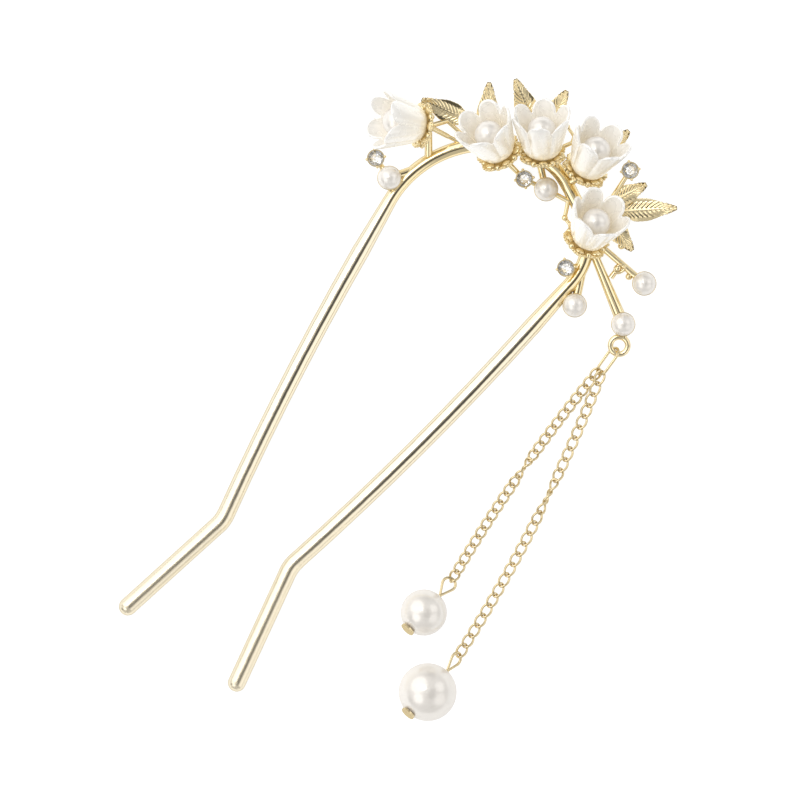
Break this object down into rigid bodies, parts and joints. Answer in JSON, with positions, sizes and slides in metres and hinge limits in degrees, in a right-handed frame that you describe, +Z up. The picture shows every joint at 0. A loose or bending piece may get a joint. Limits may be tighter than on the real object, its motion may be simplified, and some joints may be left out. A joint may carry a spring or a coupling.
{
  "type": "hairpin",
  "caption": "Two-prong gold hair fork with pearl-white bell flowers, leaves, set pearls and crystals, and a two-strand chain tassel with drop pearls.",
  "frame": {"origin": "centre of the footprint at floor level, where the hairpin lies flat", "axes": "+Y from the prong tips to the flower head along the fork, +Z up from the table, +X to the side where the tassel hangs"},
  "size_m": [0.0728, 0.1187, 0.0139],
  "materials": {
    "polished_gold": "polished pale gold plating",
    "chain_gold": "polished gold plating",
    "bell_shell": "glossy pearl-white shell",
    "pearl": "lustrous cream pearl coating",
    "crystal": "clear, cut and polished"
  },
  "bodies": {
    "root": {"pin_frame": "polished_gold", "flower_1": "bell_shell", "flower_2": "bell_shell", "flower_3": "bell_shell", "flower_4": "bell_shell", "flower_5": "bell_shell", "flower_pearl_1": "pearl", "flower_pearl_2": "pearl", "flower_pearl_3": "pearl", "flower_pearl_4": "pearl", "flower_pearl_5": "pearl", "branch_pearl_1": "pearl", "branch_pearl_2": "pearl", "branch_pearl_3": "pearl", "branch_pearl_4": "pearl", "branch_pearl_5": "pearl", "crystal_1": "crystal", "crystal_2": "crystal", "crystal_3": "crystal", "crystal_4": "crystal", "joining_link": "chain_gold", "chain_short": "chain_gold", "chain_long": "chain_gold", "eye_pin_short": "chain_gold", "eye_pin_long": "chain_gold", "drop_pearl_short": "pearl", "drop_pearl_long": "pearl"}
  },
  "joints": []
}
